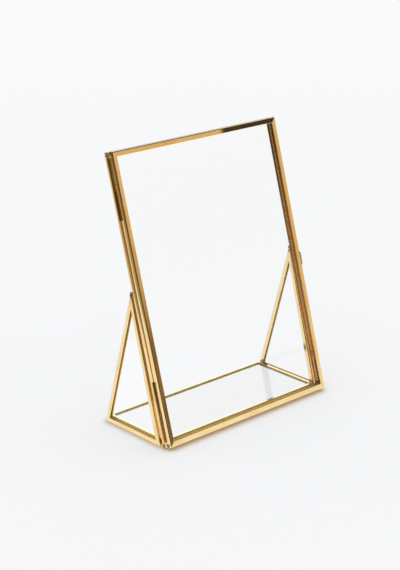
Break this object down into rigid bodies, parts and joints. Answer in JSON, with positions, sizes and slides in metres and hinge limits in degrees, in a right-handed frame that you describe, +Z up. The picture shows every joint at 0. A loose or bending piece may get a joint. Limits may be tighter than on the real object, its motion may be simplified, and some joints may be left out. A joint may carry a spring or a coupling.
{
  "type": "glass photo stand",
  "caption": "Free-standing floating photo frame: a hinged glass door over a glass back panel in brass channel, leaning on glazed triangles with a glazed base",
  "frame": {"origin": "on the supporting surface, under the middle of the object's bounding box", "axes": "+X to the viewer's right, +Y to the back, +Z up; the door faces -Y and leans back"},
  "size_m": [0.1548, 0.068, 0.1948],
  "materials": {
    "channel_brass": "polished folded channel",
    "hinge_brass": "drawn tube and wire, satin",
    "latch_brass": "stamped strip, slightly dulled",
    "solder": "plated solder, darkened",
    "clear_glass": "clear polished sheet"
  },
  "bodies": {
    "stand": {"back_bottom_rail": "channel_brass", "back_right_stile": "channel_brass", "back_top_rail": "channel_brass", "back_left_stile": "channel_brass", "back_glass": "clear_glass", "back_corner_solder": "solder", "left_support_foot": "channel_brass", "right_support_foot": "channel_brass", "left_support_rear_leg": "channel_brass", "right_support_rear_leg": "channel_brass", "left_support_front_leg": "channel_brass", "right_support_front_leg": "channel_brass", "left_support_glass": "clear_glass", "right_support_glass": "clear_glass", "left_support_tip_solder": "solder", "right_support_tip_solder": "solder", "base_front_rail": "channel_brass", "base_right_rail": "channel_brass", "base_rear_rail": "channel_brass", "base_left_rail": "channel_brass", "base_glass": "clear_glass", "lower_hinge_fixed_tube": "hinge_brass", "upper_hinge_fixed_tube": "hinge_brass", "lower_hinge_pin": "hinge_brass", "upper_hinge_pin": "hinge_brass", "latch_keeper": "latch_brass"},
    "door": {"door_bottom_rail": "channel_brass", "door_right_stile": "channel_brass", "door_top_rail": "channel_brass", "door_left_stile": "channel_brass", "door_glass": "clear_glass", "door_corner_solder": "solder", "lower_hinge_door_tube": "hinge_brass", "upper_hinge_door_tube": "hinge_brass", "latch_pivot": "latch_brass"},
    "latch": {"latch_hook": "latch_brass"}
  },
  "joints": [
    {"name": "door_hinge", "type": "hinge", "parent": "stand", "child": "door", "pos_m": [-0.07653, -0.00192, 0.09755], "axis": [0, -0.2807, -0.9598], "range_deg": [0, 180]},
    {"name": "latch_turn", "type": "hinge", "parent": "door", "child": "latch", "pos_m": [0.07548, -0.00469, 0.09607], "axis": [1, 0, 0], "range_deg": [0, 90]}
  ]
}
